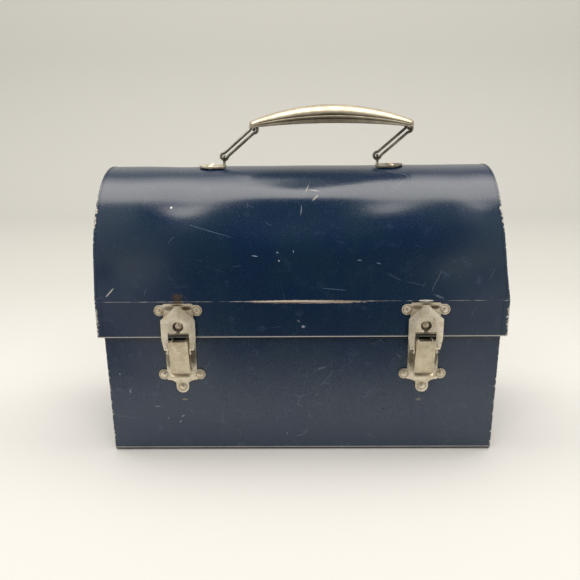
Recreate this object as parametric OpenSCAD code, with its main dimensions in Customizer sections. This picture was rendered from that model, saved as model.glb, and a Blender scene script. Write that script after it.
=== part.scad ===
// Dome-top sheet-metal lunch box: a tapered box, a hinged dome lid that
// laps over it, two draw latches, a swinging carrying handle and a wire
// bottle retainer inside the lid. Millimetres. X runs along the box,
// -Y is the latch side, +Z is up. The origin is the middle of the base.

/* [Box] */
// Length of the body at the lid's lower edge
body_w = 254; // [220:1:310]
// Depth of the body, front to rear
body_d = 112; // [100:1:140]
// Height of the lid's lower edge above the base
seam_h = 81.5; // [70:0.5:110]
// How far each end of the body leans in at the base
body_taper = 1.2; // [0:0.1:4]
// Bend radius between the base and the long walls
base_bend_r = 3; // [1.5:0.5:8]
// How far the body's mouth stands up inside the lid
mouth_rise = 11; // [6:0.5:16]
// Radius of the rolled edge around the mouth
mouth_roll_r = 1.1; // [0.8:0.1:1.5]
// Thickness of the sheet steel
sheet = 0.5; // [0.4:0.1:1]

/* [Lid] */
// How far the lid stands out past the body on every side
lid_over = 3.5; // [3:0.1:6]
// Height of the upright skirt, from the lower edge to the crease
skirt_h = 24; // [22:0.5:36]
// Height of the dome above the crease
dome_h = 77.5; // [66:0.5:100]
// Lean of the dome's straight flanks from upright
flank = 6.1; // [2:0.1:10]
// How far each end of the lid leans in at the top of the dome
lid_lean = 2.5; // [0:0.1:5]
// Height of the folded hem along the lid's lower edge
hem_h = 6; // [4:0.5:10]
// How far the lid's end panels are set in from their crimped rims
lid_recess = 1.2; // [0.8:0.1:2]
// How far the body's end panels are set in from their crimped rims
body_recess = 2; // [1:0.1:4]
// Width of the crimped rim's outer fold
rim_fold = 0.5; // [0.4:0.1:1]

/* [Rear hinges] */
// Distance of each hinge's middle from the middle of the box
hinge_x = 78; // [50:1:100]
// Length of each hinge
hinge_w = 38; // [30:1:60]
// Height of the leaf on the lid
leaf_up_h = 17; // [14:0.5:22]
// Height of the leaf on the body
leaf_down_h = 20; // [14:0.5:30]
// Thickness of the hinge leaves
leaf_t = 0.8; // [0.6:0.1:1.2]
// Outer radius of the knuckles
knuckle_r = 2; // [1.8:0.1:2.4]
// Radius of the hinge pins
hinge_pin_r = 1; // [0.8:0.1:1.2]
// Number of knuckles in each hinge
knuckles = 5; // [3:2:7]

/* [Latches] */
// Distance of each latch from the middle of the box
latch_x = 78; // [50:1:100]
// Thickness of the latch plates
plate_t = 0.8; // [0.6:0.1:1.2]
// Distance between a plate's two side rivets
rivet_span = 23.4; // [20:0.2:28]
// Height of the keeper's rivets above the lid's lower edge
keeper_rivet_h = 18.4; // [14:0.2:20]
// Width of the keeper plate between its lobes
keeper_w = 19; // [16:0.5:22]
// Height of the keeper stud above the lid's lower edge
stud_h = 8.6; // [6:0.2:11]
// Radius of the keeper stud
stud_r = 2.3; // [1.8:0.1:2.8]
// Depth of the base plate's side rivets below the lid's lower edge
base_rivet_drop = 26.2; // [22:0.2:32]
// Depth of the base plate's bottom rivet below the lid's lower edge
base_tip_drop = 35; // [30:0.2:42]
// Width of the base plate's upright strip
base_strip_w = 19.4; // [16:0.2:22]
// Width of the hasp
hasp_w = 21.7; // [19:0.1:24]
// Thickness of the hasp
hasp_t = 0.9; // [0.7:0.1:1.2]
// Height of the hasp's tip above the lid's lower edge
hasp_tip_h = 22; // [18:0.5:26]
// Width of the lever
lever_w = 12.3; // [10:0.1:13.5]
// Length of the lever's face
lever_len = 25; // [20:0.5:32]
// Angle between the shut lever's face and the wall
lever_lean = 14.5; // [8:0.5:18]
// Thickness of the lever's sheet
lever_t = 0.9; // [0.7:0.1:1.1]
// Radius of the latch pins
latch_pin_r = 1; // [0.8:0.1:1.2]

/* [Handle] */
// Distance of each handle ear from the middle of the box
ear_x = 51.5; // [45:0.5:60]
// Height of the ear's eye above the top of the dome
eye_rise = 6.6; // [6:0.1:9]
// Length of an ear plate, outward from its tab
ear_len = 17; // [12:0.5:24]
// Depth of an ear plate, front to rear
ear_d = 17; // [12:0.5:24]
// Distance between the two eyes of a wire link
link_len = 27; // [22:0.5:34]
// Radius of the link wire
wire_r = 0.95; // [0.8:0.05:1.1]
// Angle of the links from upright, leaning towards +X
link_lean = 49.5; // [30:0.5:55]
// Length of the grip
grip_len = 109; // [106:1:130]
// Height of the grip at its middle
grip_h = 11.7; // [9:0.1:14]
// Height of the grip at its ends
grip_end_h = 3.8; // [3:0.1:5]
// Depth of the grip at its middle, front to rear
grip_d = 22; // [18:0.5:28]
// Depth of the grip at its ends, front to rear
grip_end_d = 11; // [9:0.5:14]
// How far the underside of the grip arches up
grip_arch = 3.2; // [2:0.1:5]
// Thickness of the grip's sheet
grip_t = 0.8; // [0.6:0.1:1.2]

/* [Bottle retainer] */
// Radius of the retainer wire
bail_r = 1.25; // [1:0.05:1.6]
// Distance between the retainer's two arms
bail_w = 84; // [60:1:120]
// Height of the retainer above the body's mouth
bail_rise = 8; // [6:0.5:12]
// Width of the sprung catch
catch_w = 12; // [10:0.5:18]

/* [Clearances] */
// Radial clearance of a pin in its hole
pin_clear = 0.05; // [0.02:0.01:0.1]
// Clearance of a rivet shank in its hole
rivet_clear = 0.05; // [0.02:0.01:0.1]
// Gap between parts that slide past each other
gap = 0.3; // [0.2:0.05:0.5]

/* [Hidden] */
$fn = 64;
eps = 0.01;

over = 1;

lid_w = body_w + 2*lid_over;
lid_d = body_d + 2*lid_over;
crease_z = seam_h + skirt_h;
crest_z = crease_z + dome_h;
mouth_z = seam_h + mouth_rise;
front_body = -body_d/2;
front_lid = -lid_d/2;
roll_stop = 6;

// The dome's straight flanks run from the crease up to the round top,
// which they meet a hair inside a tangent.
dome_bite = 0.02;
dome_r = dome_bite
    + (lid_d/2*cos(flank) - (dome_h - dome_bite)*sin(flank))/(1 - sin(flank));
dome_z = crest_z - dome_r;

// Hinge axis, in line with the skirt's outer face and just under it
hinge_y = lid_d/2;
hinge_z = seam_h - knuckle_r - gap;

// Hinge leaves and pins
leaf_corner = 2;
leaf_rivet_edge = 7.6;
pin_head_r = 1.3;
pin_head_t = 0.6;

// Rivets
rivet_r = 1.2;
head_r = 2.4;
head_h = 1.1;
tail_r = 1.9;
tail_h = 0.6;

// Plate outlines of the latches
lobe_r = 3.5;
tip_lobe_r = 4.1;
keeper_low = 2;
keeper_corner = 1.2;
base_corner = 0.6;
base_overlap = 0.4;
neck_r = 2.6;

// Latch planes and pivots
keeper_front = front_lid - plate_t;
stud_len = 2;
hasp_back = keeper_front - stud_len - gap;
pivot_y = hasp_back - hasp_t + 0.1;
pivot_z = seam_h - gap - 2.5;
ear_r = 2.2;
base_ear_t = 0.9;
lever_reach = 4;
hinge_drop = 5.2;
hasp_in = 0.6;
hasp_y = pivot_y + hasp_in;
hasp_z = pivot_z - hinge_drop;
cheek_in = lever_w/2 - lever_t;
cheek_short = 3;
cheek_back = 1.6;
cheek_step = 0.6;
hip_r = 1.9;
lip_out = 1.6;
lip_t = 0.9;

// Hasp
window_w = lever_w + 1;
window_top = 4.4;
hasp_eave = 9;
hasp_tip_r = 3;
hasp_tip_half = 2.4;
hasp_foot = 2;
hasp_foot_in = 1.8;
hasp_tab_h = 6;
key_gap = 1.1;
key_half = 1.2;

// Handle
eye_r = 2.3;
strand_x = 1.55;
bend_r = 2;
bend_z = sqrt(pow(eye_r + bend_r, 2) - pow(strand_x + bend_r, 2));
bend_angle = atan2(bend_z, strand_x + bend_r);
tab_t = 1;
tab_w = 9;
tab_corner = 2.2;
tab_play = 0.65;
ear_rivet_y = 4.6;
ear_rivet_x = 8.84;
ear_head_r = 2.2;
ear_head_top = 1.6;
ear_head_h = 0.5;
lip_h = 0.75;
ear_gap = 0.05;
ear_z = crest_z + eye_rise;
link_dx = link_len*sin(link_lean);
link_dz = link_len*cos(link_lean);
grip_x = link_dx;
grip_z = ear_z + link_dz;
grip_top_rise = 5;
grip_pin_r = 1;
lug_r = 2.6;
lug_t = 1.1;
lug_in = wire_r + 0.55;
tray_short = 9;
tray_t = 1;
tray_clear = 0.15;
pin_out = 0.5;

// Bottle retainer
wall_in = lid_d/2 - sheet;
bail_z = mouth_z + bail_rise;
bail_y = wall_in - 4.2;
bail_front = 5 - wall_in;
bail_bend = 8;
bail_foot_bend = 3;
bail_foot = 14;
bracket_at = 8.5;
bracket_w = 6;
bracket_h = 10;
bracket_t = 0.8;
bracket_r = 2.4;
catch_t = 0.6;
catch_up = 3.5;
catch_foot = 4;
catch_tongue = 3;

SIDES = [-1, 1];

// ---------------------------------------------------------------- shapes

// Stands a flat outline in X and Z upright, t thick towards -Y from y
module upright(y, t) {
    translate([0, y, 0]) rotate([90, 0, 0]) linear_extrude(t) children();
}

// Runs an outline in Y and Z along X from x0 to x1
module along_x(x0, x1) {
    translate([x0, 0, 0]) rotate([90, 0, 90]) linear_extrude(x1 - x0) children();
}

// A cylinder along X
module bar_x(r, x0, x1) {
    translate([x0, 0, 0]) rotate([0, 90, 0]) cylinder(r = r, h = x1 - x0);
}

// A cylinder along Y
module bar_y(r, y0, y1) {
    translate([0, y0, 0]) rotate([-90, 0, 0]) cylinder(r = r, h = y1 - y0);
}

// A rectangle with round corners, centred on X, from z0 up to z1
module rounded(w, z0, z1, r) {
    translate([-w/2 + r, z0]) square([w - 2*r, z1 - z0]);
    translate([-w/2, z0 + r]) square([w, z1 - z0 - 2*r]);
    for (x = [-1, 1], z = [z0 + r, z1 - r])
        translate([x*(w/2 - r), z]) circle(r);
}

// A round-headed rivet along -Y. Its head sits on y = 0 and its shank
// goes through grip to a flat tail.
module rivet(grip) {
    cap_r = (head_r*head_r + head_h*head_h)/(2*head_h);
    intersection() {
        translate([0, cap_r - head_h, 0]) sphere(cap_r);
        bar_y(head_r, -head_h, 0);
    }
    bar_y(rivet_r, -eps, grip + eps);
    bar_y(tail_r, grip, grip + tail_h);
}

// The hole that a rivet's shank goes through
module rivet_hole(y0, y1) {
    bar_y(rivet_r + rivet_clear, y0, y1);
}

// ---------------------------------------------------------------- box

// Cross-section of the body in Y and Z, set in by inset on every side
module body_section(inset) {
    r = base_bend_r - inset;
    half = body_d/2 - inset;
    translate([-half, base_bend_r]) square([2*half, mouth_z - base_bend_r]);
    translate([-half + r, inset]) square([2*half - 2*r, base_bend_r]);
    for (s = SIDES) translate([s*(half - r), base_bend_r]) circle(r);
}

// The slice of space between a and b inside the body's +X end plane
module body_slice(a, b) {
    top = mouth_z + over;
    x0 = body_w/2 - body_taper;
    x1 = x0 + body_taper*top/seam_h;
    translate([0, body_d, 0]) rotate([90, 0, 0]) linear_extrude(2*body_d)
        polygon([[x0 - a, -over], [x1 - a, top], [x1 - b, top], [x0 - b, -over]]);
}

module body_wrap() color("#22375c") difference() {
    union() {
        intersection() {
            along_x(-body_w, body_w) difference() {
                body_section(0);
                body_section(sheet);
                translate([-body_d/2 + sheet, mouth_z - over])
                    square([body_d - 2*sheet, 2*over]);
            }
            union() {
                body_slice(rim_fold, body_w/2 + over);
                mirror([1, 0, 0]) body_slice(rim_fold, body_w/2 + over);
            }
        }
        for (s = SIDES)
            translate([0, s*(body_d/2 - mouth_roll_r), mouth_z - mouth_roll_r])
                bar_x(mouth_roll_r, roll_stop - body_w/2, body_w/2 - roll_stop);
    }
    for (s = SIDES) {
        for (p = base_rivets()) translate([s*latch_x + p[0], 0, p[1]])
            rivet_hole(front_body - over, front_body + sheet + over);
        for (p = leaf_rivets(body_leaf_z())) translate([s*hinge_x + p[0], 0, p[1]])
            rivet_hole(body_d/2 - sheet - over, body_d/2 + over);
    }
}

module body_end() {
    mouth = mouth_z - mouth_roll_r;
    intersection() {
        body_slice(0, rim_fold);
        along_x(0, body_w) difference() {
            body_section(0);
            body_section(2*sheet);
        }
    }
    difference() {
        intersection() {
            body_slice(0, body_recess + sheet);
            along_x(0, body_w) body_section(sheet);
        }
        intersection() {
            body_slice(-over, body_recess);
            along_x(0, body_w) union() {
                body_section(2*sheet);
                translate([-body_d/2 + 2*sheet, mouth_z - 2*over])
                    square([body_d - 4*sheet, 4*over]);
            }
        }
    }
    x = body_w/2 - body_recess - sheet - mouth_roll_r + body_taper*(mouth/seam_h - 1);
    half = body_d/2 - 2*mouth_roll_r - gap;
    translate([x + sheet, 0, mouth]) bar_y(mouth_roll_r, -half, half);
}

module body_end_left() color("#22375c") mirror([1, 0, 0]) body_end();
module body_end_right() color("#22375c") body_end();

// Cross-section of the lid in Y and Z, set in by inset on every side
module lid_section(inset) {
    half = lid_d/2 - inset;
    r = dome_r - inset;
    foot = (r - dome_bite)*[cos(flank), sin(flank)];
    crease = crease_z - inset*tan(flank/2);
    intersection() {
        translate([0, dome_z]) circle(r, $fn = 128);
        translate([-lid_d, crease_z + 2*over]) square([2*lid_d, 2*dome_r]);
    }
    polygon([
        [-half, seam_h], [half, seam_h], [half, crease],
        [foot[0], dome_z + foot[1]], [-foot[0], dome_z + foot[1]], [-half, crease]
    ]);
}

// The same outline carried on below the lower edge, to cut the lid open
module lid_cutter(inset) {
    lid_section(inset);
    half = lid_d/2 - inset;
    translate([-half, seam_h - over]) square([2*half, 2*over]);
}

// The slice of space between a and b inside the lid's +X end plane
module lid_slice(a, b) {
    x = lid_w/2;
    top = crest_z + over;
    lean = lid_lean*(top - crease_z)/dome_h;
    translate([0, lid_d, 0]) rotate([90, 0, 0]) linear_extrude(2*lid_d)
        polygon([
            [x - a, seam_h - over], [x - a, crease_z], [x - a - lean, top],
            [x - b - lean, top], [x - b, crease_z], [x - b, seam_h - over]
        ]);
}

module lid_wrap() color("#1d3157") difference() {
    union() {
        intersection() {
            along_x(-lid_w, lid_w) difference() {
                lid_section(0);
                lid_cutter(sheet);
            }
            union() {
                lid_slice(rim_fold, lid_w/2 + over);
                mirror([1, 0, 0]) lid_slice(rim_fold, lid_w/2 + over);
            }
        }
        for (s = SIDES)
            translate([-body_w/2, s*(lid_d/2 - 1.5*sheet) - sheet, seam_h])
                cube([body_w, 2*sheet, hem_h]);
    }
    for (s = SIDES) {
        for (p = keeper_rivet_points()) translate([s*latch_x + p[0], 0, p[1]])
            rivet_hole(front_lid - over, front_lid + sheet + over);
        translate([s*latch_x, 0, seam_h + stud_h])
            rivet_hole(front_lid - over, front_lid + sheet + over);
        for (p = leaf_rivets(lid_leaf_z())) translate([s*hinge_x + p[0], 0, p[1]])
            rivet_hole(lid_d/2 - sheet - over, lid_d/2 + over);
        for (y = SIDES) ear_rivet_place(s, y)
            cylinder(r = rivet_r + rivet_clear, h = 6*tab_t, center = true);
    }
}

module lid_end() {
    intersection() {
        lid_slice(0, rim_fold);
        along_x(0, lid_w) difference() {
            lid_section(0);
            lid_cutter(2*sheet);
        }
    }
    difference() {
        intersection() {
            lid_slice(0, lid_recess + sheet);
            along_x(0, lid_w) lid_section(sheet);
        }
        intersection() {
            lid_slice(-over, lid_recess);
            along_x(0, lid_w) lid_cutter(2*sheet);
        }
    }
}

module lid_end_left() color("#1d3157") mirror([1, 0, 0]) lid_end();
module lid_end_right() color("#1d3157") lid_end();

// ---------------------------------------------------------------- hinges

function lid_leaf_z() = seam_h + leaf_up_h - leaf_rivet_edge;
function body_leaf_z() = hinge_z - leaf_down_h + leaf_rivet_edge;
function leaf_rivets(z) = [for (s = SIDES) [s*(hinge_w/2 - leaf_rivet_edge), z]];
function knuckle_len() = (hinge_w - (knuckles - 1)*gap)/knuckles;
function knuckle_start(i) = -hinge_w/2 + i*(knuckle_len() + gap);

// Every second knuckle of a hinge, from the given first one
module knuckle_row(first) {
    for (i = [first:2:knuckles - 1])
        bar_x(knuckle_r, knuckle_start(i), knuckle_start(i) + knuckle_len());
}

module hinge_leaf_body() translate([hinge_x, 0, 0]) difference() {
    union() {
        upright(body_d/2 + leaf_t, leaf_t)
            rounded(hinge_w, hinge_z - leaf_down_h, hinge_z - knuckle_r + over,
                leaf_corner);
        translate([0, hinge_y, hinge_z]) knuckle_row(0);
        for (i = [0:2:knuckles - 1])
            translate([knuckle_start(i), body_d/2, hinge_z - knuckle_r])
                cube([knuckle_len(), hinge_y - body_d/2, leaf_t]);
        for (i = [0:2:knuckles - 1])
            translate([knuckle_start(i), body_d/2, hinge_z - knuckle_r - over])
                cube([knuckle_len(), leaf_t, 2*over]);
    }
    translate([0, hinge_y, hinge_z])
        bar_x(hinge_pin_r + pin_clear, -hinge_w, hinge_w);
    for (p = leaf_rivets(body_leaf_z())) translate([p[0], 0, p[1]])
        rivet_hole(body_d/2 - over, body_d/2 + leaf_t + over);
}

module hinge_leaf_lid() translate([hinge_x, 0, 0]) difference() {
    union() {
        upright(lid_d/2 + leaf_t, leaf_t)
            rounded(hinge_w, seam_h + gap, seam_h + leaf_up_h, leaf_corner);
        translate([0, hinge_y, hinge_z]) knuckle_row(1);
        for (i = [1:2:knuckles - 1])
            translate([knuckle_start(i), hinge_y, hinge_z])
                cube([knuckle_len(), leaf_t, seam_h + gap + leaf_corner + over - hinge_z]);
    }
    translate([0, hinge_y, hinge_z])
        bar_x(hinge_pin_r + pin_clear, -hinge_w, hinge_w);
    for (p = leaf_rivets(lid_leaf_z())) translate([p[0], 0, p[1]])
        rivet_hole(lid_d/2 - over, lid_d/2 + leaf_t + over);
}

module hinge_pin() translate([hinge_x, hinge_y, hinge_z]) {
    end = hinge_w/2 + gap + pin_head_t;
    bar_x(hinge_pin_r, -end, end);
    for (s = SIDES) translate([s*(end - pin_head_t/2), 0, 0])
        bar_x(pin_head_r, -pin_head_t/2, pin_head_t/2);
}

module hinge_leaf_body_left() color("#b9ae97") mirror([1, 0, 0]) hinge_leaf_body();
module hinge_leaf_body_right() color("#b9ae97") hinge_leaf_body();
module hinge_leaf_lid_left() color("#b9ae97") mirror([1, 0, 0]) hinge_leaf_lid();
module hinge_leaf_lid_right() color("#b9ae97") hinge_leaf_lid();
module hinge_pin_left() color("#8f8674") mirror([1, 0, 0]) hinge_pin();
module hinge_pin_right() color("#8f8674") hinge_pin();

// Rivets through the rear wall at depth y, heads outside
module rear_rivets(y, z) {
    for (s = SIDES, p = leaf_rivets(z))
        translate([s*hinge_x + p[0], y + leaf_t, p[1]])
            rotate([0, 0, 180]) rivet(leaf_t + sheet);
}

module hinge_rivets_body() color("#c9bea6") rear_rivets(body_d/2, body_leaf_z());
module hinge_rivets_lid() color("#c9bea6") rear_rivets(lid_d/2, lid_leaf_z());

// ---------------------------------------------------------------- latches

function keeper_rivet_points() =
    [for (s = SIDES) [s*rivet_span/2, seam_h + keeper_rivet_h]];
function base_rivets() = [
    [-rivet_span/2, seam_h - base_rivet_drop],
    [rivet_span/2, seam_h - base_rivet_drop],
    [0, seam_h - base_tip_drop]
];

module keeper_plate() translate([latch_x, 0, 0]) difference() {
    upright(front_lid, plate_t) union() {
        rounded(keeper_w, seam_h + keeper_low, crease_z - keeper_corner, keeper_corner);
        translate([-rivet_span/2, seam_h + keeper_rivet_h])
            square([rivet_span, lobe_r]);
        for (p = keeper_rivet_points()) translate(p) circle(lobe_r);
    }
    for (p = keeper_rivet_points()) translate([p[0], 0, p[1]])
        rivet_hole(keeper_front - over, front_lid + over);
    translate([0, 0, seam_h + stud_h]) rivet_hole(keeper_front - over, front_lid + over);
}

// The stud's domed end stops just behind the hasp
module keeper_stud() translate([latch_x, keeper_front, seam_h + stud_h]) {
    crown_r = stud_r + 0.8;
    intersection() {
        translate([0, crown_r - stud_len, 0]) sphere(crown_r);
        bar_y(stud_r, -stud_len, 0);
    }
    bar_y(rivet_r, -eps, plate_t + sheet + eps);
    bar_y(tail_r, plate_t + sheet, plate_t + sheet + tail_h);
}

// Outline of the base plate: an upright strip with two side lobes and a
// third lobe below, joined by hollow shoulders
module base_outline() {
    side_z = seam_h - base_rivet_drop;
    tip_z = seam_h - base_tip_drop;
    shoulder = side_z - lobe_r + base_overlap;
    rounded(base_strip_w, shoulder, pivot_z, base_corner);
    for (s = SIDES) translate([s*rivet_span/2, side_z]) circle(lobe_r);
    translate([0, tip_z]) circle(tip_lobe_r);
    difference() {
        translate([-tip_lobe_r - neck_r, tip_z])
            square([2*(tip_lobe_r + neck_r), shoulder - tip_z + over]);
        for (s = SIDES) translate([s*(tip_lobe_r + neck_r), shoulder - neck_r])
            circle(neck_r);
        for (s = SIDES) translate([s*(tip_lobe_r + neck_r) - neck_r, tip_z - over])
            square([2*neck_r, shoulder - neck_r - tip_z + over]);
    }
}

// The base plate carries the lever between two upright ears
module latch_base() translate([latch_x, 0, 0]) difference() {
    union() {
        upright(front_body, plate_t) base_outline();
        for (s = SIDES) translate([s*ear_mid() - base_ear_t/2, 0, pivot_z]) {
            translate([0, pivot_y, 0]) bar_x(ear_r, 0, base_ear_t);
            translate([0, pivot_y, -ear_r])
                cube([base_ear_t, front_body - plate_t/2 - pivot_y, 2*ear_r]);
        }
    }
    translate([0, pivot_y, pivot_z])
        bar_x(latch_pin_r + pin_clear, -lever_w, lever_w);
    for (p = base_rivets()) translate([p[0], 0, p[1]])
        rivet_hole(front_body - plate_t - over, front_body + over);
}

function ear_mid() = cheek_in - gap - base_ear_t/2;

// Outer face line of the lever in Y and Z, at height z above its pivot
function lever_face(z) = -lever_reach + (ear_r + gap - z)*tan(lever_lean);

// Side of the lever between its face and its back edge
module lever_cheek() {
    top = ear_r + gap;
    low = top - lever_len + cheek_short;
    foot = lever_face(low) + lever_t;
    polygon([
        [lever_face(top), top], [0, top], [cheek_back, cheek_step],
        [hasp_in + hip_r, -hinge_drop], [hasp_in + 0.75*hip_r, -hinge_drop - 1.25*hip_r],
        [foot + 2*cheek_step, low + cheek_back], [foot, low], [lever_face(low), low]
    ]);
}

// The face of the lever, with a lip turned out at its lower end
module lever_strip() {
    top = ear_r + gap;
    low = top - lever_len;
    polygon([
        [lever_face(top), top], [lever_face(top) + lever_t, top],
        [lever_face(low) + lever_t, low], [lever_face(low) - lip_out, low - lip_t],
        [lever_face(low) - lip_out, low], [lever_face(low), low + lip_t]
    ]);
}

module lever() translate([latch_x, pivot_y, pivot_z]) difference() {
    union() {
        along_x(-lever_w/2, lever_w/2) lever_strip();
        along_x(-lever_w/2, -cheek_in) lever_cheek();
        along_x(cheek_in, lever_w/2) lever_cheek();
    }
    bar_x(latch_pin_r + pin_clear, -lever_w, lever_w);
    translate([0, hasp_in, -hinge_drop])
        bar_x(latch_pin_r + pin_clear, -lever_w, lever_w);
}

module lever_pin() translate([latch_x, pivot_y, pivot_z])
    bar_x(latch_pin_r, -lever_w/2, lever_w/2);

// The hasp: a plate with a pointed top, a keyhole for the stud, and an
// open window whose two legs hang on the lever
module hasp_outline() {
    half = hasp_w/2;
    tip = seam_h + hasp_tip_h;
    eave = tip - hasp_eave;
    foot = hasp_z - hasp_foot;
    ankle = hasp_z + 4*hasp_foot;
    low_half = half - hasp_foot_in;
    peak = tip - hasp_tip_r + sqrt(pow(hasp_tip_r, 2) - pow(hasp_tip_half, 2));
    difference() {
        union() {
            polygon([
                [-half, eave], [-half, ankle], [-low_half, foot + over],
                [low_half, foot + over], [half, ankle], [half, eave],
                [hasp_tip_half, peak], [-hasp_tip_half, peak]
            ]);
            translate([0, tip - hasp_tip_r]) circle(hasp_tip_r);
        }
        translate([-window_w/2, foot - over])
            square([window_w, seam_h + window_top - foot + over]);
        translate([0, seam_h + stud_h]) circle(stud_r + key_gap);
        translate([-key_half, seam_h + key_gap]) square([2*key_half, stud_h - key_gap]);
    }
}

module hasp() translate([latch_x, 0, 0]) difference() {
    union() {
        upright(hasp_back, hasp_t) hasp_outline();
        for (s = SIDES) translate([s*(window_w/2 + hasp_t/2) - hasp_t/2, 0, 0]) {
            translate([0, hasp_y, hasp_z]) bar_x(hasp_foot, 0, hasp_t);
            translate([0, hasp_back - hasp_t, hasp_z - hasp_foot])
                cube([hasp_t, hasp_y - hasp_back + hasp_t, hasp_tab_h]);
        }
    }
    translate([0, hasp_y, hasp_z])
        bar_x(latch_pin_r + pin_clear, -hasp_w, hasp_w);
}

module hasp_pin() translate([latch_x, hasp_y, hasp_z]) {
    half = window_w/2 + hasp_t;
    bar_x(latch_pin_r, -half - pin_out, half + pin_out);
}

module keeper_plate_left() color("#d2c6ab") mirror([1, 0, 0]) keeper_plate();
module keeper_plate_right() color("#d2c6ab") keeper_plate();
module latch_base_left() color("#d2c6ab") mirror([1, 0, 0]) latch_base();
module latch_base_right() color("#d2c6ab") latch_base();
module lever_left() color("#ddd2b8") mirror([1, 0, 0]) lever();
module lever_right() color("#ddd2b8") lever();
module lever_pin_left() color("#8f8674") mirror([1, 0, 0]) lever_pin();
module lever_pin_right() color("#8f8674") lever_pin();
module hasp_left() color("#d8ccb0") mirror([1, 0, 0]) hasp();
module hasp_right() color("#d8ccb0") hasp();
module hasp_pin_left() color("#8f8674") mirror([1, 0, 0]) hasp_pin();
module hasp_pin_right() color("#8f8674") hasp_pin();

module keeper_studs() color("#c9bea6") {
    keeper_stud();
    mirror([1, 0, 0]) keeper_stud();
}

module keeper_rivets() color("#e0cfb4")
    for (s = SIDES, p = keeper_rivet_points())
        translate([s*latch_x + p[0], keeper_front, p[1]]) rivet(plate_t + sheet);

module latch_base_rivets() color("#e0cfb4")
    for (s = SIDES, p = base_rivets())
        translate([s*latch_x + p[0], front_body - plate_t, p[1]])
            rivet(plate_t + sheet);

// ---------------------------------------------------------------- handle

// Puts a rivet of a handle ear square to the dome
module ear_rivet_place(s, y) {
    a = y*asin(ear_rivet_y/dome_r);
    translate([s*(ear_x + ear_rivet_x), 0, dome_z]) rotate([-a, 0, 0])
        translate([0, 0, dome_r]) children();
}

// An ear: a plate bent to the dome, with a tab turned up at its inner end
module handle_ear() difference() {
    union() {
        intersection() {
            translate([0, 0, dome_z]) difference() {
                bar_x(dome_r + ear_gap + tab_t, ear_x - tab_t/2, lid_w/2, $fn = 128);
                bar_x(dome_r + ear_gap, 0, lid_w, $fn = 128);
            }
            translate([0, 0, dome_z]) linear_extrude(2*dome_r) union() {
                translate([ear_x - tab_t/2, -ear_d/2])
                    square([ear_len - ear_d/2 + tab_t/2, ear_d]);
                translate([ear_x + ear_len - ear_d/2, 0]) circle(ear_d/2);
            }
        }
        along_x(ear_x - tab_t/2, ear_x + tab_t/2)
            rounded(tab_w, crest_z + ear_gap + tab_t/3, ear_z + lip_h, tab_corner);
    }
    translate([0, 0, ear_z - eye_r])
        bar_x(wire_r + tab_play, ear_x - tab_t, ear_x + tab_t);
    for (y = SIDES) ear_rivet_place(1, y)
        cylinder(r = rivet_r + rivet_clear, h = 6*tab_t, center = true);
}

module handle_ear_left() color("#cfc6b4") mirror([1, 0, 0]) handle_ear();
module handle_ear_right() color("#cfc6b4") handle_ear();

// The flat tails lie just inside the dome's curve
module ear_rivets() color("#bdb4a2") {
    inside = sheet + tail_r*tail_r/dome_r;
    for (s = SIDES, y = SIDES) ear_rivet_place(s, y) {
        translate([0, 0, ear_gap + tab_t])
            cylinder(r1 = ear_head_r, r2 = ear_head_top, h = ear_head_h);
        translate([0, 0, -inside - eps])
            cylinder(r = rivet_r, h = inside + ear_gap + tab_t + 2*eps);
        translate([0, 0, -inside - tail_h]) cylinder(r = tail_r, h = tail_h);
    }
}

// Part of a ring of wire in X and Z, from angle a over sweep, at radius r
module wire_arc(r, a, sweep) {
    rotate([90, 0, 0]) rotate([0, 0, a])
        rotate_extrude(angle = sweep) translate([r, 0]) circle(wire_r);
}

// One end of a link: an eye that opens upward into two strands
module link_end() {
    wire_arc(eye_r, 180 - bend_angle, 180 + 2*bend_angle);
    for (s = [0, 1]) mirror([s, 0, 0])
        translate([strand_x + bend_r, 0, bend_z])
            wire_arc(bend_r, 180, bend_angle);
}

// A closed wire link, eye to eye along +Z, from its lower eye
module link() {
    link_end();
    translate([0, 0, link_len]) mirror([0, 0, 1]) link_end();
    for (s = SIDES) {
        translate([s*strand_x, 0, bend_z])
            cylinder(r = wire_r, h = link_len - 2*bend_z);
        for (z = [bend_z, link_len - bend_z]) translate([s*strand_x, 0, z])
            sphere(wire_r + eps);
        for (z = [eye_r*sin(bend_angle), link_len - eye_r*sin(bend_angle)])
            translate([s*eye_r*cos(bend_angle), 0, z]) sphere(wire_r + eps);
    }
}

module handle_link(s) translate([s*ear_x, 0, ear_z]) rotate([0, link_lean, 0]) link();
module handle_link_left() color("#8d8878") handle_link(-1);
module handle_link_right() color("#8d8878") handle_link(1);

// The grip's outline along its length: u runs from -1 to 1
function swell(u) = pow(max(0, cos(90*u)), 0.8);
function grip_half_d(u) = (grip_end_d + (grip_d - grip_end_d)*swell(u))/2;
function grip_low(u) = grip_z + grip_top_rise - grip_end_h + grip_arch*(1 - u*u);
function grip_height(u) = grip_end_h + (grip_h - grip_end_h)*swell(u);

// One cross-section of the grip in Y and Z, set in by inset: a flat
// underside and a half-round top
function grip_ring(u, inset, low) = [
    for (i = [0:16]) let (a = 180*i/16)
        [-(grip_half_d(u) - inset)*cos(a),
         grip_low(u) + low + (grip_height(u) - inset - low)*sin(a)]
];

// A closed solid through cross-sections of the grip
module grip_loft(half, inset, low) {
    steps = 28;
    count = 17;
    rings = [for (i = [0:steps]) let (u = -1 + 2*i/steps)
        [for (p = grip_ring(u, inset, low)) [grip_x + u*half, p[0], p[1]]]];
    points = [for (r = rings) for (p = r) p];
    sides = [for (i = [0:steps - 1], j = [0:count - 1])
        let (a = i*count + j, b = i*count + (j + 1)%count)
        each [[a, b, b + count], [a, b + count, a + count]]];
    caps = [
        [for (j = [count - 1:-1:0]) j],
        [for (j = [0:count - 1]) steps*count + j]
    ];
    polyhedron(points = points, faces = concat(sides, caps));
}

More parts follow.
